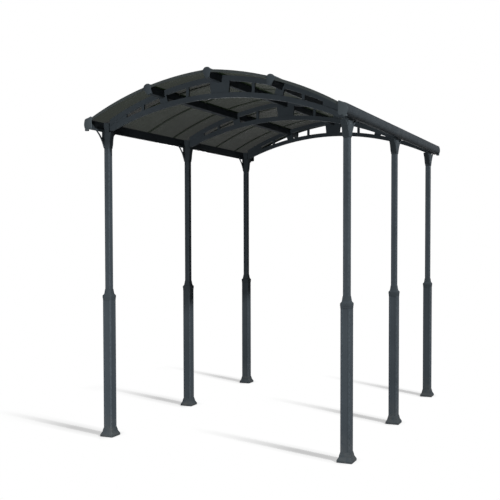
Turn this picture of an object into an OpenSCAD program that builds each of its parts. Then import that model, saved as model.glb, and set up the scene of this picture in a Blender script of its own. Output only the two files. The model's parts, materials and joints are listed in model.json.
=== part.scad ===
// Arched carport on six tall posts: three arched trusses, three purlins,
// two gutter beams and a roof of clear-span sheets in four strips.
// +Z is up, +Y runs along the gutters, and the ground is z = 0.

/* [Posts] */
// Distance between the axes of the left and right posts
post_gauge = 3390; // [3200:10:3600]
// Distance between the axes of neighbouring posts along a gutter
post_pitch = 2150; // [1700:10:2250]
// Height of the gutters' underside above the ground
eave_h = 4118; // [2600:10:4500]
// Width of the square post
post_w = 76; // [60:1:90]
// Wall of the post and of the sleeve
tube_wall = 2.5; // [1.5:0.5:5]
// Corner radius of the post and of the sleeve
tube_corner_r = 8; // [4:1:12]

/* [Sleeves and feet] */
// Width of the square sleeve around the lower part of a post
sleeve_w = 122; // [110:1:140]
// Height of the sleeve's tube
sleeve_h = 1856; // [800:10:2100]
// Length of post inside the sleeve
post_insert = 300; // [100:10:500]
// Width of the collar at its bulge
collar_w = 135; // [126:1:155]
// Height of the collar above the sleeve's tube
collar_h = 146; // [100:1:200]
// Width of the base plate under the sleeve
base_w = 150; // [142:1:160]
// Thickness of the base plate
base_t = 8; // [5:1:12]
// Width of the foot cover on the ground
foot_w = 196; // [180:1:230]
// Thickness of the foot cover's rim
foot_rim_h = 31; // [16:1:40]
// Height of the foot cover
foot_h = 136; // [100:1:170]

/* [Post heads] */
// Height of a post head below the gutter's underside
head_h = 234; // [180:1:300]
// Thickness of a post head's shell
head_wall = 3; // [2:0.5:6]
// Reach of a post head's heel past the post, toward the truss
heel_reach = 40; // [20:1:50]
// Reach of a wing from the post's axis, along the gutter
wing_reach = 221; // [160:1:280]
// Thickness of a wing
wing_t = 18; // [10:1:24]
// Width of a wing's curved rib
wing_rib_w = 20; // [12:1:26]
// Depth of the hollow of a wing's curved edge
wing_sag = 24; // [12:1:36]
// Height over which a wing laps the gutter's inner face
wing_lap = 24; // [12:1:40]

/* [Gutters] */
// Reach of a gutter's outer face outboard of the post's axis
gutter_outer = 115; // [105:1:135]
// Height of a gutter's outer lip above its underside
gutter_h = 130; // [110:1:150]
// Wall of the gutter profile
gutter_wall = 3; // [2:0.5:5]
// Height of the channel's floor above the gutter's underside
channel_floor_h = 45; // [30:1:60]
// Radius of a gutter's outer lower corner
gutter_corner_r = 24; // [10:1:28]

/* [Roof] */
// Overall length of the roof over its end caps
roof_l = 5020; // [4900:10:5300]
// Radius of each half of the roof's arch, at the top of the sheets
roof_r = 4100; // [3600:10:5000]
// Offset of each half's centre past the ridge, which points the arch
ridge_offset = 270; // [150:10:400]
// Thickness of a roof sheet
sheet_t = 6; // [4:1:10]
// Number of sheets along one strip of the roof
sheet_count = 7; // [5:1:9]
// Distance of a sheet's lower edge outboard of the post's axis
sheet_edge = 50; // [40:1:55]
// Height of a sheet's lower edge above the gutter's underside
sheet_edge_h = 123; // [110:1:135]
// Width of a strip that joins two sheets
joint_w = 40; // [24:1:60]
// Thickness of a strip that joins two sheets
joint_t = 2.5; // [1.5:0.5:3.5]
// Height of the trim along the front and back edges
trim_h = 34; // [24:1:45]
// Thickness of the trim along the front and back edges
trim_t = 12; // [8:1:20]

/* [Purlins and caps] */
// Distance of each side purlin from the ridge
purlin_x = 856; // [700:1:950]
// Width of a purlin's cover strip
cover_w = 105; // [90:1:120]
// Height of a purlin's cover strip above the sheets
cover_h = 28; // [20:1:36]
// Depth of a purlin's body below the sheets' top
purlin_depth = 100; // [90:1:130]
// Width of a purlin's body under the sheets
body_top_w = 84; // [70:1:88]
// Width of a purlin's body at its bottom
body_low_w = 52; // [40:1:66]
// Width of the neck between two sheets
neck_w = 20; // [12:1:30]
// Wall of a purlin's body
purlin_wall = 3; // [2:0.5:5]
// Thickness of the end caps
cap_t = 8; // [5:1:12]
// Reach of the end caps past the profiles that they close
cap_lip = 5; // [2:1:10]
// Width of a gutter cap's drip spout
spout_w = 50; // [30:1:60]
// Drop of a drip spout below the gutter
spout_drop = 23; // [10:1:40]
// Length of a drip spout along the gutter
spout_l = 34; // [20:1:60]

/* [Trusses] */
// Width of a truss, along the gutters
truss_w = 40; // [30:1:60]
// Difference between the roof's radius and that of the lower chord's underside
chord_less_r = 35; // [-100:5:200]
// Depth of the lower chord
chord_depth = 65; // [45:1:75]
// Height of the lower chord's end above the gutter's underside
chord_end_h = -3; // [-12:1:12]
// Depth of the upper chord
upper_depth = 64; // [45:1:70]
// Distance of each inner web bar from the ridge
bar_inner_x = 467; // [350:1:550]
// Distance of each outer web bar from the ridge
bar_outer_x = 1137; // [1080:1:1200]
// Width of a web bar
bar_w = 40; // [20:1:55]
// Width of the plate under a side purlin
plate_w = 113; // [80:1:140]
// Width of the plate under the ridge purlin, at its bottom
ridge_plate_low_w = 240; // [180:1:300]
// Width of the plate under the ridge purlin, at its top
ridge_plate_top_w = 300; // [200:1:360]
// Distance from the ridge at which the end plate begins
end_plate_x = 1390; // [1320:1:1440]
// Thickness of the web bars and plates
web_t = 26; // [8:1:34]

/* [Hidden] */
ROWS = ["front", "middle", "back"];
SIDES = ["left", "right"];
PURLINS = ["left", "ridge", "right"];
function by_post(piece) = [for (row = ROWS, side = SIDES) str(piece, "_", row, "_", side)];
function by_row(piece) = [for (row = ROWS) str("truss_", row, "_", piece)];

$fn = 96;
fit = 0.3;            // air between pieces that seat on each other
slot_gap = 0.5;       // air above and below a sheet in a purlin's slot
neck_gap = 2;         // air between a sheet's edge and a purlin's neck
chord_gap = 4;        // air between the sheets and the upper chord, for the joints
joint_web = 3;        // web of a sheet joint, between two sheets
spout_inset = 4;      // distance of a spout inside the gutter's outer face
cap_bulge = 14;       // how far a gutter cap stands out past the outer face
cap_inset = 17;       // how far a gutter cap reaches inboard of the inner face
cap_rise = 11;        // height of a gutter cap's top above the sheets
far = 10000;          // longer than any piece

post_x = post_gauge / 2;
head_body = post_w / 2 + head_wall;
gutter_in_x = post_x + head_body + fit;
gutter_out_x = post_x + gutter_outer;
sheet_edge_x = post_x + sheet_edge;
truss_reach = post_x - head_body - fit;

arch_z = eave_h + sheet_edge_h - sqrt(pow(roof_r, 2) - pow(sheet_edge_x + ridge_offset, 2));
function roof_z(x) = arch_z + sqrt(pow(roof_r, 2) - pow(abs(x) + ridge_offset, 2));
function roof_slope(x) = asin((abs(x) + ridge_offset) / roof_r);
ridge_z = roof_z(0);
ridge_fall = tan(roof_slope(0));
post_top = roof_z(post_x + head_body) - sheet_t - chord_gap;
chord_r = roof_r - chord_less_r;
chord_z = eave_h + chord_end_h - sqrt(pow(chord_r, 2) - pow(truss_reach, 2));

beam_l = roof_l - 2 * (cap_t + fit);
sheets_l = beam_l - 2 * (trim_t + fit);
sheet_pitch = sheets_l / sheet_count;
hole_w = post_w + 2 * fit;

function row_y(row) = row == "front" ? -post_pitch : row == "middle" ? 0 : post_pitch;
function side_sign(side) = side == "left" ? -1 : 1;

// Points of an arc from p to q that stands out by sag to the left of the way from p to q
function arc(p, q, sag, steps = 12) =
    let (
        d = q - p,
        chord = norm(d),
        r = (pow(chord / 2, 2) + pow(sag, 2)) / (2 * abs(sag)),
        normal = [-d[1], d[0]] / chord * sign(sag),
        centre = (p + q) / 2 + normal * (abs(sag) - r),
        half = asin(chord / 2 / r)
    )
    [for (i = [0:steps]) let (a = -half + 2 * half * i / steps)
        centre + normal * r * cos(a) + d / chord * r * sin(a)];

module rounded_square(w, r) {
    square([w, w - 2 * r], center = true);
    square([w - 2 * r, w], center = true);
    for (x = [-1, 1], y = [-1, 1])
        translate([x * (w / 2 - r), y * (w / 2 - r)])
            circle(r = r);
}

module square_tube(w, r, wall, h) {
    linear_extrude(height = h)
        difference() {
            rounded_square(w, r);
            rounded_square(w - 2 * wall, r - wall);
        }
}

// A square piece whose four sides all follow one half outline of [x, z] points
module four_sided(outline) {
    intersection() {
        across_x(2 * far) mirrored_outline(outline);
        across_y(2 * far) mirrored_outline(outline);
    }
}

// A closed drawing from its right half, a list of [x, z] points
module mirrored_outline(half) {
    polygon(concat(
        half,
        [for (i = [len(half) - 1:-1:0]) if (half[i][0] > 0) [-half[i][0], half[i][1]]]
    ));
}

// Stands a drawing up so that it is seen from the front and runs l along Y, about y = 0
module across_y(l) {
    rotate([90, 0, 0])
        linear_extrude(height = l, center = true)
            children();
}

// Stands a drawing up so that it is seen from the side and runs l along X, about x = 0
module across_x(l) {
    rotate([90, 0, 90])
        linear_extrude(height = l, center = true)
            children();
}

module at_post(row, side) {
    translate([side_sign(side) * post_x, row_y(row), 0])
        mirror([side == "left" ? 1 : 0, 0, 0])
            children();
}

module both_sides() {
    children();
    mirror([1, 0]) children();
}

// ---- Feet, sleeves and posts ----

module foot_cover(row, side) {
    boot_w = sleeve_w / 2 + 2;
    boot_low_w = sleeve_w / 2 + 19;
    rim_top = foot_rim_h + 14;
    color([0.25, 0.27, 0.29])
    at_post(row, side)
    difference() {
        four_sided(concat(
            [[foot_w / 2, 0], [foot_w / 2, foot_rim_h]],
            arc([boot_low_w, rim_top], [boot_w, foot_h], 4)
        ));
        translate([0, 0, -1])
            linear_extrude(height = foot_h + 2)
                rounded_square(sleeve_w + 2 * fit, tube_corner_r + fit);
        translate([0, 0, base_t / 2 - far / 2 + fit])
            cube([base_w + 2 * fit, base_w + 2 * fit, far + base_t], center = true);
    }
}

module sleeve(row, side) {
    bulge = collar_w / 2;
    ring = post_w / 2 + 11;
    color([0.27, 0.29, 0.32])
    at_post(row, side) {
        translate([0, 0, base_t / 2])
            cube([base_w, base_w, base_t], center = true);
        square_tube(sleeve_w, tube_corner_r, tube_wall, sleeve_h);
        translate([0, 0, sleeve_h])
            difference() {
                four_sided(concat(
                    [[sleeve_w / 2, 0], [bulge, 0.2 * collar_h], [bulge, 0.4 * collar_h]],
                    arc([bulge - 3, 0.45 * collar_h], [ring, 0.7 * collar_h], -3, 6),
                    [[post_w / 2 + 4, collar_h]]
                ));
                translate([0, 0, -1])
                    linear_extrude(height = collar_h + 2)
                        rounded_square(hole_w, tube_corner_r + fit);
            }
    }
}

module post(row, side) {
    low = sleeve_h - post_insert;
    color([0.27, 0.29, 0.32])
    at_post(row, side)
        translate([0, 0, low])
            square_tube(post_w, tube_corner_r, tube_wall, post_top - low);
}

module wing_outline() {
    low = [post_w / 2, -head_h];
    tip = [wing_reach, 0];
    edge = arc(low, tip, wing_sag);
    margin = post_w / 2 + 42;
    inner = arc(low + [0, wing_rib_w], tip - [wing_rib_w * 1.6, 8], wing_sag);
    difference() {
        polygon(concat([[0, -head_h]], edge, [[wing_reach, wing_lap], [0, wing_lap]]));
        intersection() {
            polygon(concat([[0, -head_h]], inner, [[0, -8]]));
            translate([margin, -head_h])
                square([wing_reach, head_h]);
        }
    }
}

// The post head's heel, which carries the end of the lower chord
module heel_outline() {
    heel = head_body + heel_reach - head_wall;
    intersection() {
        polygon([
            [0, -head_h], [-head_body, -head_h], [-heel, -0.2 * head_h],
            [-heel, head_h], [0, head_h]
        ]);
        translate([-post_x, chord_z - eave_h])
            circle(r = chord_r - fit, $fn = 360);
    }
}

module post_head(row, side) {
    flare = head_body + 20;
    color([0.24, 0.26, 0.28])
    at_post(row, side)
    translate([0, 0, eave_h])
    difference() {
        union() {
            intersection() {
                across_y(2 * far) {
                    heel_outline();
                    translate([-head_body, -head_h])
                        square([2 * head_body, head_h]);
                }
                across_x(2 * far)
                    polygon([
                        [flare, 0], [flare, -0.25 * head_h], [head_body, -head_h],
                        [-head_body, -head_h], [-flare, -0.25 * head_h], [-flare, 0]
                    ]);
            }
            translate([0, 0, (post_top - eave_h - head_h) / 2])
                cube([2 * head_body, 2 * head_body, post_top - eave_h + head_h], center = true);
            translate([head_body - wing_t / 2, 0, 0])
                across_x(wing_t)
                    both_sides() wing_outline();
        }
        translate([0, 0, -head_h - 1])
            linear_extrude(height = far)
                rounded_square(hole_w, tube_corner_r + fit);
    }
}

// ---- Sections seen from the front, drawn for the right half ----

// What the round of a gutter's outer lower corner leaves away
module gutter_corner(grow) {
    translate([gutter_out_x - gutter_corner_r, eave_h + gutter_corner_r])
        difference() {
            translate([0, -far])
                square(far);
            circle(r = gutter_corner_r + grow);
        }
}

// Section of a gutter, wider by grow all round
module gutter_section(grow = 0) {
    difference() {
        translate([gutter_in_x - grow, eave_h - grow]) {
            intersection() {
                square([gutter_wall + 2 * grow, far]);
                translate([grow - gutter_in_x - ridge_offset, grow - eave_h + arch_z])
                    circle(r = roof_r - sheet_t - slot_gap + grow, $fn = 360);
            }
            square([gutter_out_x - gutter_in_x + 2 * grow, channel_floor_h + 2 * grow]);
            translate([gutter_out_x - gutter_in_x - gutter_wall, 0])
                square([gutter_wall + 2 * grow, gutter_h + 2 * grow]);
        }
        gutter_corner(grow);
    }
}

module gutter_chamber() {
    w = gutter_out_x - gutter_in_x - 2 * gutter_wall;
    difference() {
        translate([gutter_in_x + gutter_wall, eave_h + gutter_wall])
            square([w, channel_floor_h - 2 * gutter_wall]);
        gutter_corner(-gutter_wall);
    }
}

// Moves a drawing made about a purlin's axis, v = 0 at the sheets' top, to that purlin
module at_purlin(x) {
    translate([x, roof_z(x)])
        rotate(x == 0 ? 0 : -sign(x) * roof_slope(x))
            children();
}

function shoulder(u, v, fall) = [u, v - fall * u];

// Right half of a purlin's outline, wider by grow all round, with a slot for the sheets
function purlin_outline(fall, grow = 0) =
    let (
        seat = -sheet_t - slot_gap,
        neck = neck_w / 2 + grow,
        cover = cover_w / 2,
        edge = shoulder(cover, slot_gap, fall)
    )
    concat(
        [
            [body_low_w / 2 + grow, -purlin_depth - grow],
            [body_top_w / 2 + grow, seat - 24],
            shoulder(body_top_w / 2 + grow, seat + grow, fall),
            shoulder(neck, seat + grow, fall),
            shoulder(neck, slot_gap - grow, fall),
            shoulder(cover + grow, slot_gap - grow, fall),
            [cover + grow, edge[1] + 6]
        ],
        arc([cover - 8 + grow, edge[1] + 14 + grow], [0, cover_h + grow], -3.5)
    );

module purlin_neck(grow = 0) {
    square([neck_w + 2 * grow, 4 * sheet_t], center = true);
}

module purlin_chamber() {
    low = -purlin_depth + purlin_wall;
    mirrored_outline([
        [body_low_w / 2 - purlin_wall, low],
        [body_top_w / 2 - purlin_wall - 1, -sheet_t - 21],
        [neck_w / 2 - purlin_wall, -sheet_t - 12]
    ]);
}

module purlin_section(fall, grow = 0) {
    mirrored_outline(purlin_outline(fall, grow));
}

// The ridge purlin and the right purlin, as far as they are right of the ridge
module purlins_section(grow = 0) {
    at_purlin(0) purlin_section(ridge_fall, grow);
    at_purlin(purlin_x) purlin_section(0, grow);
}

// Band that follows the roof's right half, from low to high above the sheets' top
module roof_band(low, high, reach = sheet_edge_x) {
    intersection() {
        translate([-ridge_offset, arch_z])
            difference() {
                circle(r = roof_r + high, $fn = 360);
                circle(r = roof_r + low, $fn = 360);
            }
        translate([0, eave_h])
            square([reach, far]);
    }
}

module upper_chord_section() {
    top = -sheet_t - chord_gap;
    difference() {
        roof_band(top - upper_depth, top, truss_reach);
        purlins_section(fit);
    }
}

module lower_chord_section() {
    intersection() {
        translate([0, chord_z])
            difference() {
                circle(r = chord_r + chord_depth, $fn = 360);
                circle(r = chord_r, $fn = 360);
            }
        translate([-1, 0])
            square([truss_reach + 1, far]);
    }
}

// Room between the chords, less a little air
module web_space() {
    under = -sheet_t - chord_gap - upper_depth - fit;
    difference() {
        intersection() {
            translate([-ridge_offset, arch_z])
                circle(r = roof_r + under, $fn = 360);
            translate([0, eave_h])
                square([truss_reach, far]);
        }
        translate([0, chord_z])
            circle(r = chord_r + chord_depth + fit, $fn = 360);
        purlins_section(fit);
    }
}

module webs_section() {
    both_sides()
        intersection() {
            web_space();
            union() {
                for (x = [bar_inner_x, bar_outer_x])
                    translate([x - bar_w / 2, 0])
                        square([bar_w, far]);
                at_purlin(purlin_x)
                    translate([-plate_w / 2, -far])
                        square([plate_w, far]);
                translate([end_plate_x, 0])
                    square([far, far]);
                translate([0, chord_z + chord_r])
                    polygon([
                        [0, 0], [ridge_plate_low_w / 2, 0],
                        [ridge_plate_top_w / 2, ridge_z - chord_z - chord_r], [0, far]
                    ]);
            }
        }
}

// ---- Trusses ----

module lower_chord(row) {
    color([0.16, 0.17, 0.18])
    translate([0, row_y(row), 0])
        across_y(truss_w)
            both_sides() lower_chord_section();
}

module upper_chord(row) {
    color([0.16, 0.17, 0.18])
    translate([0, row_y(row), 0])
        across_y(truss_w)
            both_sides() upper_chord_section();
}

module webs(row) {
    color([0.14, 0.15, 0.16])
    translate([0, row_y(row), 0])
        across_y(web_t) webs_section();
}

// ---- Roof ----

module purlin(name) {
    x = name == "left" ? -purlin_x : name == "right" ? purlin_x : 0;
    fall = name == "ridge" ? ridge_fall : 0;
    color([0.26, 0.28, 0.3])
    across_y(beam_l)
        at_purlin(x)
            difference() {
                purlin_section(fall);
                purlin_chamber();
            }
}

module gutter(side) {
    color([0.26, 0.28, 0.3])
    mirror([side == "left" ? 1 : 0, 0, 0])
        across_y(beam_l)
            difference() {
                gutter_section();
                gutter_chamber();
            }
}

module sheet_section() {
    difference() {
        roof_band(-sheet_t, 0);
        at_purlin(0) purlin_neck(neck_gap);
        at_purlin(purlin_x) purlin_neck(neck_gap);
    }
}

module roof_sheets(side) {
    color([0.2, 0.21, 0.2, 0.85])
    mirror([side == "left" ? 1 : 0, 0, 0])
        for (i = [0:sheet_count - 1])
            translate([0, (i - (sheet_count - 1) / 2) * sheet_pitch, 0])
                across_y(sheet_pitch - joint_web - 2 * fit)
                    sheet_section();
}

module joint_section(low, high, reach) {
    difference() {
        roof_band(low, high, reach);
        purlins_section(slot_gap);
        gutter_section(slot_gap);
    }
}

module sheet_joint() {
    outside = joint_t + fit;
    across_y(joint_web)
        both_sides() joint_section(-sheet_t - outside, outside, sheet_edge_x);
    across_y(joint_w)
        both_sides() joint_section(fit, outside, sheet_edge_x);
    across_y(joint_w)
        both_sides() joint_section(-sheet_t - outside, -sheet_t - fit, gutter_in_x);
}

module sheet_joints() {
    color([0.12, 0.13, 0.13])
    for (i = [1:sheet_count - 1])
        translate([0, (i - sheet_count / 2) * sheet_pitch, 0])
            sheet_joint();
}

module roof_trim(y_sign) {
    top = 4;
    color([0.3, 0.32, 0.33])
    translate([0, y_sign * (beam_l - trim_t) / 2, 0])
        across_y(trim_t)
            both_sides()
                difference() {
                    roof_band(top - trim_h, top);
                    purlins_section(slot_gap);
                    gutter_section(slot_gap);
                }
}

// ---- End caps ----

module purlin_cap_outline() {
    w = cover_w / 2 + cap_lip;
    low_w = body_low_w / 2 + cap_lip;
    mirrored_outline(concat(
        arc([0, -purlin_depth - cap_lip], [low_w, 12 - purlin_depth], -5, 6),
        arc([w, -12], [0, cover_h + cap_lip], -14)
    ));
}

module gutter_cap_outline() {
    inner = gutter_in_x - cap_inset;
    top = roof_z(inner) + cap_rise;
    corner_r = 14;
    low = eave_h - cap_lip;
    polygon(concat(
        arc([inner, low + corner_r], [inner + corner_r, low], -0.29 * corner_r, 4),
        arc([gutter_out_x + 2, low], [gutter_out_x + 2, eave_h + gutter_h - 12], -cap_bulge),
        [[gutter_out_x - 2, eave_h + gutter_h + cap_lip], [inner + 40, top + 3], [inner, top]]
    ));
}

module gutter_cap() {
    spout_x = gutter_out_x - spout_inset - spout_w;
    across_y(cap_t) gutter_cap_outline();
    translate([spout_x, -cap_t / 2, eave_h - spout_drop])
        cube([spout_w, cap_t, spout_drop + cap_lip]);
    translate([spout_x, cap_t / 2 - 0.01, eave_h - spout_drop])
        cube([spout_w, spout_l - cap_t, spout_drop - fit]);
}

module end_caps(y_sign) {
    color([0.2, 0.21, 0.23])
    mirror([0, y_sign > 0 ? 1 : 0, 0])
    translate([0, -roof_l / 2 + cap_t / 2, 0]) {
        across_y(cap_t) at_purlin(0) purlin_cap_outline();
        for (side = SIDES)
            mirror([side == "left" ? 1 : 0, 0, 0]) {
                across_y(cap_t) at_purlin(purlin_x) purlin_cap_outline();
                gutter_cap();
            }
    }
}

for (row = ROWS, side = SIDES) {
    foot_cover(row, side);
    sleeve(row, side);
    post(row, side);
    post_head(row, side);
}
for (row = ROWS) {
    lower_chord(row);
    upper_chord(row);
    webs(row);
}
for (name = PURLINS)
    purlin(name);
for (side = SIDES) {
    gutter(side);
    roof_sheets(side);
}
sheet_joints();
roof_trim(-1);  // roof_trim_front
roof_trim(1);  // roof_trim_back
end_caps(-1);  // end_caps_front
end_caps(1);  // end_caps_back
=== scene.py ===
import json
import math

import bmesh
import bpy
from mathutils import Matrix, Vector


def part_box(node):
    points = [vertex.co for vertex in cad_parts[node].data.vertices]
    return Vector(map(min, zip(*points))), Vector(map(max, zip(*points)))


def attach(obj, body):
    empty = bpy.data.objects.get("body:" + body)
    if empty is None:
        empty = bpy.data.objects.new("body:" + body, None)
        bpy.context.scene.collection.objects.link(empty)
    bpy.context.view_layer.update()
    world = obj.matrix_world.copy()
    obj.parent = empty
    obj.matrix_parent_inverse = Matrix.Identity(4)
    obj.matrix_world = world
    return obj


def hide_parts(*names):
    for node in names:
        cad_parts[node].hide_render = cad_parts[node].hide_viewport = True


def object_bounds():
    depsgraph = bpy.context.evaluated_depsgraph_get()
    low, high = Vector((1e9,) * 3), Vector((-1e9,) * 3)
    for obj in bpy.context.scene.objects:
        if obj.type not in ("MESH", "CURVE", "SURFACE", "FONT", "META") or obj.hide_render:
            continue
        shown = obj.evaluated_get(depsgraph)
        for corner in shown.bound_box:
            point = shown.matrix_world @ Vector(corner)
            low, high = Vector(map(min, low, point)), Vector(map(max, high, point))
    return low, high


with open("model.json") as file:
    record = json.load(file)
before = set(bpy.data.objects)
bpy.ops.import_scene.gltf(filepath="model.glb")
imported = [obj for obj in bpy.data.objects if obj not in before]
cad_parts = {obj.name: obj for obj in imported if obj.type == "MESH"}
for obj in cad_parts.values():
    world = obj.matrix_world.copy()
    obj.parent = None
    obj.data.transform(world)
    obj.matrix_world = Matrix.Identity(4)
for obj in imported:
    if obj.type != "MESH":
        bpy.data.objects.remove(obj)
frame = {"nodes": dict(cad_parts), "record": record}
cad_low, cad_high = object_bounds()
scene = bpy.context.scene
scene.view_settings.view_transform = "Standard"

ROWS = ("front", "middle", "back")
SIDES = {"left": -1, "right": 1}
ENDS = {"front": -1, "back": 1}

# ---- Camera ----

camera_data = bpy.data.cameras.new("camera")
camera_data.sensor_width = 36
camera_data.lens = 58.43
camera_data.shift_x = -0.0955
camera_data.shift_y = 0.0204
camera_data.clip_end = 200
camera = bpy.data.objects.new("camera", camera_data)
camera.location = (4.7777, -11.3836, 2.7365)
camera.rotation_euler = (math.pi / 2 - 0.03148, 0, 0.38279)
scene.collection.objects.link(camera)
scene.camera = camera

# ---- Sizes of the carport, in metres ----

SLEEVE = 0.0625           # half the width of a sleeve
SLEEVE_CORNER = 0.008
PANEL = 0.036             # half the width of the sunk panel in each side of a sleeve
PANEL_SINK = 0.002
POST = 0.0395             # half the width of a post
POST_CORNER = 0.007
POST_FLUTE = 0.016        # half the width of the flute in each side of a post
COLLAR = 0.0675           # half the width of a collar at its bulge
COLLAR_H = 0.146
FOOT_RIM_H = 0.031
# A foot cover's boot, as (half the width, height above the rim)
FOOT_BOOT = ((0.0785, 0.03), (0.075, 0.039), (0.0735, 0.05), (0.071, 0.062), (0.0675, 0.073),
             (SLEEVE + 0.0025, 0.082), (SLEEVE + 0.001, 0.089))
HEAD_H = 0.221
HEAD_WALL = 0.003
HEAD_CORNER = 0.006
HEEL = 0.03               # reach of a post head's heel past its body
# A post head's lower part, as (reach of the heel, flare along the gutter, height above its bottom)
HEAD_RISE = ((0.002, 0.001, 0.02), (0.007, 0.002, 0.036), (0.01, 0.002, 0.06), (0.013, 0.002, 0.1),
             (0.019, 0.002, 0.145), (0.026, 0.002, HEAD_H - 0.045), (HEEL, 0.003, HEAD_H - 0.012),
             (HEEL - 0.002, 0.002, HEAD_H - 0.0035))
WING_REACH = 0.221
WING_T = 0.018
WING_LAP = 0.024          # height over which the wings lap the gutter's inner face
WING_SAG = 0.022          # depth of the hollow of a wing's curved edge
WING_PROUD = 0.0015       # how far the wings' plate stands out past the head
WINDOW_START = 0.08       # distance of a wing's window from the post's axis
ROOF_RADIUS = 4.1
RIDGE_OFFSET = 0.27       # how far past the ridge the arc of each half has its centre
SHEET_EDGE_UP = 0.123     # height of a sheet's lower edge above the gutter's underside
SHEET_T = 0.006
PURLIN_X = 0.856
PURLIN_DEPTH = 0.1        # depth of a purlin below the sheets' top
COVER = 0.0525            # half the width of a purlin's cover strip
COVER_H = 0.028           # height of the cover strip above the sheets' top
BODY_LOW = 0.026          # half the width of a purlin's body at its bottom
CAP_T = 0.008
CHANNEL_FLOOR = 0.045     # height of the gutter's channel above its underside
GUTTER_WALL = 0.003
GUTTER_CORNER = 0.052
GUTTER_BEAD = 0.0045      # radius of the bead along a gutter's lip
SPOUT_INSET = 0.002       # distance of a spout from the gutter's outer face
SPOUT_W = 0.05
SPOUT_REACH = 0.034
SPOUT_DROP = 0.023        # depth of a spout below the gutter
SHEETS = 7                # sheets in a row
ROOF_SCREW = 0.007        # radius of a screw's washer, as the next one
ROOF_SCREW_MARGIN = 0.03
HEAD_SCREW = 0.006
HEAD_SCREW_DROPS = (0.06, 0.15)

gutter_low, gutter_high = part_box("gutter_right")
EAVE_Z = gutter_low.z
sheet_edge_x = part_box("roof_sheets_right")[1].x
arch_z = EAVE_Z + SHEET_EDGE_UP - math.sqrt(ROOF_RADIUS ** 2 - (sheet_edge_x + RIDGE_OFFSET) ** 2)


def roof_z(x):
    return arch_z + math.sqrt(ROOF_RADIUS ** 2 - (abs(x) + RIDGE_OFFSET) ** 2)


def roof_lean(x):
    """Turn of the roof at x from level, downwards to the outside; none on the ridge."""
    return 0 if x == 0 else math.copysign(math.asin((abs(x) + RIDGE_OFFSET) / ROOF_RADIUS), x)


# ---- Building shapes ----

def arc(centre, radius, start, end, steps):
    """Points of an arc about centre, from start to end in degrees."""
    turns = [math.radians(start + (end - start) * i / steps) for i in range(steps + 1)]
    return [(centre[0] + radius * math.cos(t), centre[1] + radius * math.sin(t)) for t in turns]


def bow(p, q, sag, steps):
    """Points from p to q on a curve that stands out by sag to the left of the way."""
    p, q = Vector(p), Vector(q)
    way = q - p
    left = Vector((-way.y, way.x)).normalized()
    spots = [i / steps for i in range(steps + 1)]
    return [tuple(p + way * t + left * (4 * sag * t * (1 - t))) for t in spots]


def new_verts(made):
    return [part for part in made["geom"] if isinstance(part, bmesh.types.BMVert)]


def square_loft(bm, rings, corner):
    """Lofts a square with round corners through rings of (x low, x high, y low, y high, z)."""
    def middle(ring):
        return Vector(((ring[0] + ring[1]) / 2, (ring[2] + ring[3]) / 2, ring[4]))

    def span(ring):
        return Vector((ring[1] - ring[0], ring[3] - ring[2], 1))

    start = bmesh.ops.create_grid(bm, x_segments=1, y_segments=1, size=0.5)["verts"]
    bmesh.ops.scale(bm, vec=span(rings[0]), verts=start)
    bmesh.ops.translate(bm, vec=middle(rings[0]), verts=start)
    rounded = bmesh.ops.bevel(bm, geom=start, offset=corner, offset_type="OFFSET", segments=4,
                              profile=0.5, affect="VERTICES", material=-1)
    top = rounded["verts"][0].link_faces[0]
    for old, new in zip(rings, rings[1:]):
        made = bmesh.ops.extrude_face_region(bm, geom=[top])
        verts = new_verts(made)
        top = next(part for part in made["geom"] if isinstance(part, bmesh.types.BMFace))
        grow = Vector(b / a for a, b in zip(span(old), span(new)))
        bmesh.ops.translate(bm, vec=-middle(old), verts=verts)
        bmesh.ops.scale(bm, vec=grow, verts=verts)
        bmesh.ops.translate(bm, vec=middle(new), verts=verts)


def about(x, y, half, z):
    return (x - half, x + half, y - half, y + half, z)


def push_out(bm, points, place, run):
    """Makes a solid from a closed outline, set by place and pushed out along run."""
    face = bm.faces.new([bm.verts.new(place(*point)) for point in points])
    made = bmesh.ops.extrude_face_region(bm, geom=[face])
    bmesh.ops.translate(bm, vec=run, verts=new_verts(made))


def push_out_pierced(bm, rim, holes, place, run):
    """Makes a plate with holes from its closed outlines."""
    edges = []
    for loop in (rim, *holes):
        verts = [bm.verts.new(place(*point)) for point in loop]
        edges += [bm.edges.new(pair) for pair in zip(verts, verts[1:] + verts[:1])]
    filled = bmesh.ops.triangle_fill(bm, edges=edges, use_beauty=True, use_dissolve=False)
    faces = [part for part in filled["geom"] if isinstance(part, bmesh.types.BMFace)]
    made = bmesh.ops.extrude_face_region(bm, geom=faces)
    bmesh.ops.translate(bm, vec=run, verts=new_verts(made))


def soften(bm, width, segments, over):
    """Rounds the edges at which two faces turn by more than the given degrees."""
    edges = [e for e in bm.edges if e.is_manifold and e.calc_face_angle(0) > math.radians(over)]
    bmesh.ops.bevel(bm, geom=edges, offset=width, offset_type="OFFSET", segments=segments,
                    profile=0.5, affect="EDGES", clamp_overlap=True, material=-1)


def finish_piece(name, bm, material, stands_for=()):
    bmesh.ops.remove_doubles(bm, verts=bm.verts, dist=1e-5)
    bmesh.ops.recalc_face_normals(bm, faces=bm.faces)
    mesh = bpy.data.meshes.new(name)
    bm.to_mesh(mesh)
    bm.free()
    mesh.materials.append(material)
    mesh.shade_smooth()
    mesh.set_sharp_from_angle(angle=math.radians(32))
    obj = bpy.data.objects.new(name, mesh)
    scene.collection.objects.link(obj)
    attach(obj, "root")
    if stands_for:
        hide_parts(*stands_for)


# Parts of a screw, as (sides, lower radius, upper radius, height, height of its middle), in washer radii
WASHER = (14, 1.0, 0.9, 0.16, 0.08)
HEX_HEAD = (6, 0.62, 0.56, 0.42, 0.35)


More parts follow.
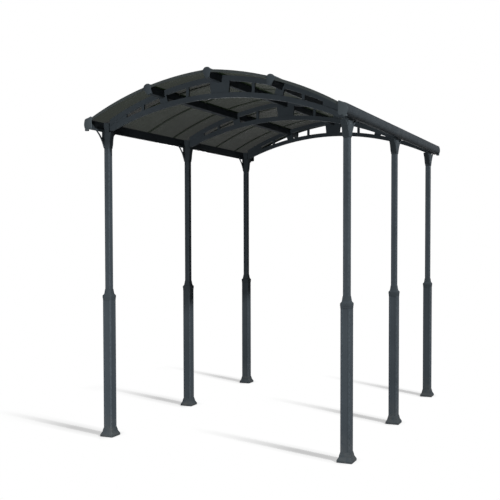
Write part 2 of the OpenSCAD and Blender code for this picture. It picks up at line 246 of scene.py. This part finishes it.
def screws(name, places, radius, material):
    """Hexagonal screw heads on round washers of the given radius, at (point, axis) places."""
    bm = bmesh.new()
    for point, axis in places:
        turn = Vector((0, 0, 1)).rotation_difference(Vector(axis)).to_matrix().to_4x4()
        for sides, low, high, depth, up in (WASHER, HEX_HEAD):
            made = bmesh.ops.create_cone(bm, cap_ends=True, segments=sides, radius1=low * radius,
                                         radius2=high * radius, depth=depth * radius)
            bmesh.ops.translate(bm, vec=(0, 0, up * radius), verts=made["verts"])
            bmesh.ops.transform(bm, matrix=Matrix.Translation(point) @ turn, verts=made["verts"])
    bmesh.ops.recalc_face_normals(bm, faces=bm.faces)
    mesh = bpy.data.meshes.new(name)
    bm.to_mesh(mesh)
    bm.free()
    mesh.materials.append(material)
    obj = bpy.data.objects.new(name, mesh)
    scene.collection.objects.link(obj)
    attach(obj, "root")


# ---- Finishes ----

def add_node(tree, kind, values=None, **settings):
    made = tree.nodes.new(kind)
    for key, value in settings.items():
        setattr(made, key, value)
    for key, value in (values or {}).items():
        if isinstance(value, bpy.types.NodeSocket):
            tree.links.new(value, made.inputs[key])
        else:
            made.inputs[key].default_value = value
    return made


def noise(tree, where, scale, detail, stretch=(1, 1, 1)):
    shaped = add_node(tree, "ShaderNodeMapping", {"Vector": where, "Scale": stretch})
    return add_node(tree, "ShaderNodeTexNoise",
                    {"Vector": shaped.outputs["Vector"], "Scale": scale, "Detail": detail}).outputs["Fac"]


def spread(tree, value, low, high, to_low=0.0, to_high=1.0):
    return add_node(tree, "ShaderNodeMapRange",
                    {"Value": value, "From Min": low, "From Max": high, "To Min": to_low, "To Max": to_high},
                    clamp=True).outputs["Result"]


def times(tree, a, b):
    return add_node(tree, "ShaderNodeMath", {0: a, 1: b}, operation="MULTIPLY").outputs["Value"]


def larger(tree, a, b):
    return add_node(tree, "ShaderNodeMath", {0: a, 1: b}, operation="MAXIMUM").outputs["Value"]


def seen_rays(tree):
    """1 for camera, glossy and transmission rays, 0 for the rays that only carry light."""
    path = add_node(tree, "ShaderNodeLightPath")
    straight = larger(tree, path.outputs["Is Camera Ray"], path.outputs["Is Glossy Ray"])
    return larger(tree, straight, path.outputs["Is Transmission Ray"])


def blend_colour(tree, share, a, b):
    made = add_node(tree, "ShaderNodeMix", {0: share, 6: a, 7: b}, data_type="RGBA")
    return made.outputs[2]


def shade(rgb, factor):
    return (*[c * factor for c in rgb], 1)


DUST = (0.19, 0.175, 0.15, 1)


def surface(name, rgb, roughness, specular, vary=0.1, peel=0.12, grain=900, dust=0.3, worn=0.0, alpha=1.0):
    """A coated or moulded surface: cloudy colour, rain streaks, ground dust, fine bump, worn edges."""
    material = bpy.data.materials.new(name)
    material.use_nodes = True
    tree = material.node_tree
    shader = tree.nodes["Principled BSDF"]
    where = add_node(tree, "ShaderNodeTexCoord").outputs["Object"]
    clouds = spread(tree, noise(tree, where, 1.7, 5), 0.3, 0.7)
    colour = blend_colour(tree, clouds, shade(rgb, 1 - vary), shade(rgb, 1 + vary))
    streaks = spread(tree, noise(tree, where, 22, 3, (1, 1, 0.05)), 0.5, 0.75, 0, 0.25)
    colour = blend_colour(tree, streaks, colour, shade(rgb, 0.78))
    if worn:
        geometry = add_node(tree, "ShaderNodeNewGeometry")
        edge = spread(tree, geometry.outputs["Pointiness"], 0.53, 0.6)
        patchy = spread(tree, noise(tree, where, 34, 5), 0.42, 0.62)
        colour = blend_colour(tree, times(tree, times(tree, edge, patchy), worn), colour, shade(rgb, 1.7))
    height = add_node(tree, "ShaderNodeSeparateXYZ", {"Vector": where}).outputs["Z"]
    low_down = spread(tree, height, 0.0, 0.4, 1.0, 0.0)
    settled = times(tree, times(tree, low_down, spread(tree, noise(tree, where, 12, 6), 0.35, 0.75)), dust)
    colour = blend_colour(tree, settled, colour, DUST)
    tree.links.new(colour, shader.inputs["Base Color"])
    rough = spread(tree, noise(tree, where, 9, 6), 0.3, 0.7, roughness - 0.06, roughness + 0.08)
    tree.links.new(rough, shader.inputs["Roughness"])
    bump = add_node(tree, "ShaderNodeBump",
                    {"Height": noise(tree, where, grain, 2), "Strength": peel, "Distance": 0.0004})
    tree.links.new(bump.outputs["Normal"], shader.inputs["Normal"])
    shader.inputs["Specular IOR Level"].default_value = specular
    shader.inputs["Alpha"].default_value = alpha
    return material


PAINT = (0.058, 0.071, 0.082)
PLASTIC = (0.054, 0.066, 0.075)
CAP = (0.08, 0.096, 0.106)
# frame paint darkened to paint shade on the gutters
GUTTER_PAINT_WITH_PAINTED_SHADE = (0.033, 0.04, 0.046)
# frame paint darkened to paint the shade the purlins sit in under the roof
PURLIN_PAINT_WITH_PAINTED_SHADE = (0.042, 0.051, 0.059)
TRIM = (0.06, 0.07, 0.07)
STRIP = (0.052, 0.062, 0.05)
SMOKE = (0.017, 0.031, 0.013)
STEEL = (0.12, 0.13, 0.14)

paint = surface("frame_paint", PAINT, 0.5, 0.012, worn=0.35)
paint_plain = surface("frame_paint_plain", PAINT, 0.5, 0.012)
# gutter paint: worn edges, and darker to paint shade on the gutters
gutter_paint_with_painted_shade = surface("gutter_paint_with_painted_shade", GUTTER_PAINT_WITH_PAINTED_SHADE, 0.5, 0.012, worn=0.35)
# purlin paint, darker to paint their shade
purlin_paint_with_painted_shade = surface("purlin_paint_with_painted_shade", PURLIN_PAINT_WITH_PAINTED_SHADE, 0.5, 0.012)
plastic = surface("cover_plastic", PLASTIC, 0.6, 0.012, vary=0.08, peel=0.3, grain=420, worn=0.25)
cap_plastic = surface("cap_plastic", CAP, 0.6, 0.02, vary=0.08, peel=0.3, grain=420, worn=0.25)
trim_paint = surface("edge_trim", TRIM, 0.5, 0.02)
strip_plastic = surface("joint_strip", STRIP, 0.6, 0.03)
smoke_sheet = surface("roof_sheet", SMOKE, 0.5, 0.02, vary=0.06, peel=0.02, grain=300, dust=0.0, alpha=0.822)
screw_steel = surface("screw_heads", STEEL, 0.4, 0.4, peel=0.05)

FINISH = {"frame_paint": paint_plain, "cover_plastic": plastic, "roof_sheet": smoke_sheet,
          "joint_strip": strip_plastic, "edge_trim": trim_paint}
for part in frame["record"]["subparts"]:
    mesh = frame["nodes"][part["node"]].data
    mesh.materials.clear()
    # the purlins take the darker paint that paints their shade
    is_purlin = part["node"].startswith("purlin")
    mesh.materials.append(purlin_paint_with_painted_shade if is_purlin else FINISH[part["material_slot"]])

# ---- Posts, sleeves, feet and heads ----


def post_place(row, side):
    low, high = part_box(f"post_{row}_{side}")
    return (low.x + high.x) / 2, (low.y + high.y) / 2


def sunk_square(half, corner, panel, sink):
    """Outline of a square tube with round corners and a sunk panel in each side."""
    points = []
    for turn in range(4):
        angle = math.radians(90 * turn)
        side = [(half - sink, -panel + sink), (half - sink, panel - sink), (half, panel)]
        side += arc((half - corner, half - corner), corner, 0, 90, 3)
        side += [(panel, half)]
        points += [(x * math.cos(angle) - y * math.sin(angle), x * math.sin(angle) + y * math.cos(angle))
                   for x, y in side]
    return points


def tube(bm, x, y, outline, low, high):
    push_out(bm, outline, lambda a, b: (x + a, y + b, low), (0, 0, high - low))


def make_foot(row, side):
    x, y = post_place(row, side)
    low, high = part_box(f"foot_cover_{row}_{side}")
    rim = (high.x - low.x) / 2
    bm = bmesh.new()
    square_loft(bm, [
        about(x, y, rim - 0.0015, 0), about(x, y, rim, 0.002), about(x, y, rim, FOOT_RIM_H - 0.006),
        about(x, y, rim - 0.002, FOOT_RIM_H - 0.001), about(x, y, rim - 0.011, FOOT_RIM_H + 0.015),
        *[about(x, y, half, FOOT_RIM_H + up) for half, up in FOOT_BOOT],
    ], 0.007)
    finish_piece(f"foot_{row}_{side}", bm, plastic, [f"foot_cover_{row}_{side}"])


def make_sleeve(row, side):
    x, y = post_place(row, side)
    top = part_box(f"sleeve_{row}_{side}")[1].z
    seat = top - COLLAR_H
    bm = bmesh.new()
    tube(bm, x, y, sunk_square(SLEEVE, SLEEVE_CORNER, PANEL, PANEL_SINK), 0.004, seat)
    finish_piece(f"sleeve_tube_{row}_{side}", bm, paint, [f"sleeve_{row}_{side}"])
    hollow = bow((COLLAR - 0.006, seat + 0.066), (0.049, seat + 0.1), 0.004, 5)
    bm = bmesh.new()
    square_loft(bm, [
        about(x, y, SLEEVE + 0.0005, seat - 0.004), about(x, y, SLEEVE + 0.002, seat),
        about(x, y, COLLAR - 0.002, seat + 0.025), about(x, y, COLLAR, seat + 0.03),
        about(x, y, COLLAR, seat + 0.058), about(x, y, COLLAR - 0.003, seat + 0.064),
        *[about(x, y, half, z) for half, z in hollow],
        about(x, y, 0.047, seat + 0.106), about(x, y, 0.043, top - 0.006),
        about(x, y, 0.042, top - 0.001), about(x, y, POST + 0.001, top),
    ], 0.011)
    finish_piece(f"collar_{row}_{side}", bm, plastic)


def make_post(row, side):
    x, y = post_place(row, side)
    low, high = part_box(f"post_{row}_{side}")
    bm = bmesh.new()
    tube(bm, x, y, sunk_square(POST, POST_CORNER, POST_FLUTE, 0.0012), low.z, high.z)
    finish_piece(f"post_tube_{row}_{side}", bm, paint, [f"post_{row}_{side}"])


def wing_loops():
    """Rim and windows of both wings, as (reach along the eave, height above the gutter's underside)."""
    edge = bow((POST + 0.004, -HEAD_H), (WING_REACH, 0), WING_SAG, 12)
    half_rim = [*edge, (WING_REACH, WING_LAP)]
    inner_edge = bow((POST, -HEAD_H + 0.02), (WING_REACH - 0.032, -0.008), WING_SAG, 16)
    inside = [(reach, height) for reach, height in inner_edge if reach > WINDOW_START + 0.002]
    window = [(WINDOW_START, inside[0][1] - 0.004), *inside, (WING_REACH - 0.036, -0.008),
              (WINDOW_START + 0.004, -0.008), (WINDOW_START, -0.012)]

    def mirrored(loop):
        return [(-reach, height) for reach, height in reversed(loop)]
    return half_rim + mirrored(half_rim), (window, mirrored(window))


def make_head(row, side):
    x, y = post_place(row, side)
    sign = SIDES[side]
    body = POST + HEAD_WALL
    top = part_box(f"post_{row}_{side}")[1].z
    low = EAVE_Z - HEAD_H

    def ring(heel, flare, z, grow=0.0):
        inner, outer = x - sign * (body + heel + grow), x + sign * (body + grow * 0.2)
        return (min(inner, outer), max(inner, outer), y - body - flare - grow, y + body + flare + grow, z)

    bm = bmesh.new()
    square_loft(bm, [
        ring(0, 0, low - 0.001, -0.001), ring(0, 0, low + 0.003, 0.002),
        *[ring(heel, flare, low + up) for heel, flare, up in HEAD_RISE],
    ], HEAD_CORNER)
    square_loft(bm, [ring(0, 0, EAVE_Z - 0.02), ring(0, 0, top)], HEAD_CORNER)
    soften(bm, 0.002, 1, 60)
    finish_piece(f"head_{row}_{side}", bm, plastic, [f"post_head_{row}_{side}"])
    rim, windows = wing_loops()
    bm = bmesh.new()
    face_x = x + sign * (body + WING_PROUD - WING_T)
    push_out_pierced(bm, rim, windows, lambda reach, height: (face_x, y + reach, EAVE_Z + height),
                     (sign * WING_T, 0, 0))
    soften(bm, 0.003, 2, 40)
    finish_piece(f"head_wings_{row}_{side}", bm, plastic)


for row in ROWS:
    for side in SIDES:
        make_foot(row, side)
        make_sleeve(row, side)
        make_post(row, side)
        make_head(row, side)

# ---- Gutters ----


def gutter_outline():
    inner, outer = gutter_low.x, gutter_high.x
    lip = gutter_high.z
    wall_top = roof_z(inner + GUTTER_WALL) - SHEET_T - 0.0005
    return [
        (inner, wall_top), (inner, EAVE_Z + 0.004), (inner + 0.004, EAVE_Z),
        *arc((outer - GUTTER_CORNER, EAVE_Z + GUTTER_CORNER), GUTTER_CORNER, -90, 0, 8),
        (outer, lip - 0.016), (outer - 0.0012, lip - 0.014), (outer - 0.0012, lip - 0.011),
        *arc((outer - GUTTER_BEAD, lip - GUTTER_BEAD), GUTTER_BEAD, -20, 180, 7),
        (outer - GUTTER_WALL, lip - 0.012), (outer - GUTTER_WALL, EAVE_Z + CHANNEL_FLOOR + 0.004),
        (outer - GUTTER_WALL - 0.004, EAVE_Z + CHANNEL_FLOOR),
        (inner + GUTTER_WALL + 0.004, EAVE_Z + CHANNEL_FLOOR),
        (inner + GUTTER_WALL, EAVE_Z + CHANNEL_FLOOR + 0.004),
        (inner + GUTTER_WALL, wall_top),
    ]


for side, sign in SIDES.items():
    bm = bmesh.new()
    push_out(bm, gutter_outline(), lambda x, z: (sign * x, gutter_low.y, z),
             (0, gutter_high.y - gutter_low.y, 0))
    # the gutters take the darker paint that paints shade on them
    finish_piece(f"gutter_beam_{side}", bm, gutter_paint_with_painted_shade, [f"gutter_{side}"])

# ---- End caps ----


def on_purlin(x):
    """Places a drawing made about a purlin's axis, height 0 at the sheets' top."""
    lean = roof_lean(x)

    def place(u, v):
        return (x + u * math.cos(lean) + v * math.sin(lean),
                roof_z(x) - u * math.sin(lean) + v * math.cos(lean))
    return place


def purlin_cap_outline():
    half = COVER + 0.005
    low_half = BODY_LOW + 0.005
    right = [*bow((0, -PURLIN_DEPTH - 0.005), (low_half, 0.012 - PURLIN_DEPTH), -0.005, 6),
             *bow((half, -0.012), (0, COVER_H + 0.005), -0.014, 10)]
    return right + [(-u, v) for u, v in reversed(right[1:-1])]


def gutter_cap_outline():
    inner, outer = gutter_low.x - 0.036, gutter_high.x
    low = EAVE_Z - 0.005
    return [
        *arc((inner + 0.02, low + 0.02), 0.02, 180, 270, 5),
        *bow((outer - 0.008, low), (outer - 0.006, low + 0.134), -0.016, 14),
        *bow((outer - 0.022, low + 0.142), (inner + 0.014, low + 0.168), 0.002, 6),
        (inner + 0.003, low + 0.166), (inner, low + 0.158),
    ]


for end, way in ENDS.items():
    tip = cad_low.y if way < 0 else cad_high.y
    bm = bmesh.new()
    for x in (-PURLIN_X, 0, PURLIN_X):
        place = on_purlin(x)
        push_out(bm, purlin_cap_outline(), lambda u, v: (place(u, v)[0], tip, place(u, v)[1]),
                 (0, -way * CAP_T, 0))
    soften(bm, 0.0035, 3, 50)
    finish_piece(f"purlin_caps_{end}", bm, plastic)
    bm = bmesh.new()
    for sign in SIDES.values():
        push_out(bm, gutter_cap_outline(), lambda x, z: (sign * x, tip, z), (0, -way * CAP_T, 0))
        outer = gutter_high.x - SPOUT_INSET
        left, right = sorted((sign * (outer - SPOUT_W), sign * outer))
        near, far = sorted((tip, tip - way * SPOUT_REACH))
        square_loft(bm, [(left + 0.003, right - 0.003, near + 0.003, far - 0.002, EAVE_Z - SPOUT_DROP),
                         (left, right, near, far, EAVE_Z - SPOUT_DROP + 0.005),
                         (left, right, near, far, EAVE_Z - 0.0003)], 0.006)
    soften(bm, 0.0035, 3, 50)
    finish_piece(f"gutter_caps_{end}", bm, cap_plastic, [f"end_caps_{end}"])

# ---- Screws ----

roof_screws = []
for x in (-PURLIN_X, 0, PURLIN_X):
    place = on_purlin(x)
    lean = roof_lean(x)
    for i in range(SHEETS * 2):
        y = (i - SHEETS + 0.5) * (cad_high.y - cad_low.y - 2 * ROOF_SCREW_MARGIN) / (SHEETS * 2)
        u, v = place(0, COVER_H)
        roof_screws.append(((u, y, v - 0.0005), (math.sin(lean), 0, math.cos(lean))))
screws("purlin_screws", roof_screws, ROOF_SCREW, screw_steel)

head_screws = []
for row in ROWS:
    for side, sign in SIDES.items():
        x, y = post_place(row, side)
        face_x = x + sign * (POST + HEAD_WALL + WING_PROUD)
        for drop in HEAD_SCREW_DROPS:
            head_screws.append(((face_x, y, EAVE_Z - drop), (sign, 0, 0)))
screws("head_screws", head_screws, HEAD_SCREW, screw_steel)

# ---- Floor, sky and lamps ----

KEY_PLACE = Vector((20.4, -7.9, 17.75))
KEY_SIZE = 1.0
KEY_POWER = 6700
FILL_PLACE = Vector((-0.7, -7.6, 0.9))
FILL_SIZE = 1.4
FILL_POWER = 248
BACK_PLACE = Vector((-8.0, 11.0, 3.5))
BACK_SIZE = 2.0
BACK_POWER = 900
SKY = 0.13                # strength of the sky's own light; it is seen as white


def lamp(name, place, aim, size, power):
    data = bpy.data.lights.new(name, "AREA")
    data.shape = "DISK"
    data.size = size
    data.energy = power
    obj = bpy.data.objects.new(name, data)
    obj.location = place
    obj.rotation_euler = (Vector(aim) - Vector(place)).to_track_quat("-Z", "Y").to_euler()
    scene.collection.objects.link(obj)


lamp("key", KEY_PLACE, (0, 0, 2), KEY_SIZE, KEY_POWER)
lamp("fill", FILL_PLACE, (0, 0, 1.5), FILL_SIZE, FILL_POWER)
lamp("back", BACK_PLACE, (0, 0, 2.5), BACK_SIZE, BACK_POWER)

world = bpy.data.worlds.new("studio")
scene.world = world
world.use_nodes = True
sky_tree = world.node_tree
background = sky_tree.nodes["Background"]
strength = spread(sky_tree, seen_rays(sky_tree), 0, 1, SKY, 1.0)
background.inputs["Color"].default_value = (1, 1, 1, 1)
sky_tree.links.new(strength, background.inputs["Strength"])

SHADOW_L = 2.7            # length of the posts' shadows on the floor
SHADOW_FADE = 0.8         # distance from a post at which its shadow begins to fade
STRIP_HALF = 0.2          # half the width of the floor that takes a post's shadow
STRIP_EDGE = 0.4          # where that floor has faded into plain white
PAINTED_SHADOW_HALF = 0.02          # half the width of the middle of the painted soft shadow
PAINTED_SHADOW_EDGE = 0.26          # where the painted soft shadow has faded out
FLOOR_SHADE = 0.4         # grey of the floor that takes a shadow
FLOOR_GLOW = 0.7          # light that this floor gives off itself
PAINTED_SHADOW_SHARE = 0.67         # share of that light left in the middle of the painted soft shadow
FLOOR_DARK = 0.03         # the floor's colour for the rays that only carry light


def glowing(tree, strength):
    return add_node(tree, "ShaderNodeEmission",
                    {"Color": (1, 1, 1, 1), "Strength": strength}).outputs["Emission"]


def matt(tree, grey):
    return add_node(tree, "ShaderNodeBsdfDiffuse", {"Color": (grey, grey, grey, 1)}).outputs["BSDF"]


def floor_material():
    """White; along the line of each post's shadow it takes that shadow, and a soft shadow is painted there
    by dimming its glow.
    """
    material = bpy.data.materials.new("floor")
    material.use_nodes = True
    tree = material.node_tree
    tree.nodes.clear()
    where = add_node(tree, "ShaderNodeTexCoord").outputs["Object"]
    mask = painted_shadow = None
    for row in ROWS:
        for side in SIDES:
            x, y = post_place(row, side)
            away = Vector((x - KEY_PLACE.x, y - KEY_PLACE.y, 0)).normalized()
            from_foot = add_node(tree, "ShaderNodeVectorMath", {0: where, 1: (x, y, 0)},
                                 operation="SUBTRACT").outputs[0]
            along = add_node(tree, "ShaderNodeVectorMath", {0: from_foot, 1: away},
                             operation="DOT_PRODUCT").outputs["Value"]
            across = add_node(tree, "ShaderNodeVectorMath", {0: from_foot, 1: (-away.y, away.x, 0)},
                              operation="DOT_PRODUCT").outputs["Value"]
            aside = add_node(tree, "ShaderNodeMath", {0: across}, operation="ABSOLUTE").outputs["Value"]
            fading = spread(tree, along, SHADOW_FADE, SHADOW_L, 1, 0)
            reach = times(tree, fading, spread(tree, along, -0.2, -0.02))
            strip = times(tree, reach, spread(tree, aside, STRIP_HALF, STRIP_EDGE, 1, 0))
            # a soft shadow painted along each post's shadow, darkest on its line
            centre = times(tree, reach, spread(tree, aside, PAINTED_SHADOW_HALF, PAINTED_SHADOW_EDGE, 1, 0))
            mask = strip if mask is None else larger(tree, mask, strip)
            painted_shadow = centre if painted_shadow is None else larger(tree, painted_shadow, centre)
    white = glowing(tree, 1.0)
    # the floor's glow, dimmed by the painted soft shadow
    pale = glowing(tree, spread(tree, painted_shadow, 0, 1, FLOOR_GLOW, PAINTED_SHADOW_SHARE * FLOOR_GLOW))
    lit = add_node(tree, "ShaderNodeAddShader", {0: matt(tree, FLOOR_SHADE), 1: pale}).outputs["Shader"]
    shown = add_node(tree, "ShaderNodeMixShader", {0: mask, 1: white, 2: lit}).outputs["Shader"]
    mixed = add_node(tree, "ShaderNodeMixShader",
                     {0: seen_rays(tree), 1: matt(tree, FLOOR_DARK), 2: shown})
    add_node(tree, "ShaderNodeOutputMaterial", {"Surface": mixed.outputs["Shader"]})
    return material


bm = bmesh.new()
bmesh.ops.create_grid(bm, x_segments=1, y_segments=1, size=60)
floor_mesh = bpy.data.meshes.new("floor")
bm.to_mesh(floor_mesh)
bm.free()
floor_mesh.materials.append(floor_material())
floor = bpy.data.objects.new("floor", floor_mesh)
scene.collection.objects.link(floor)
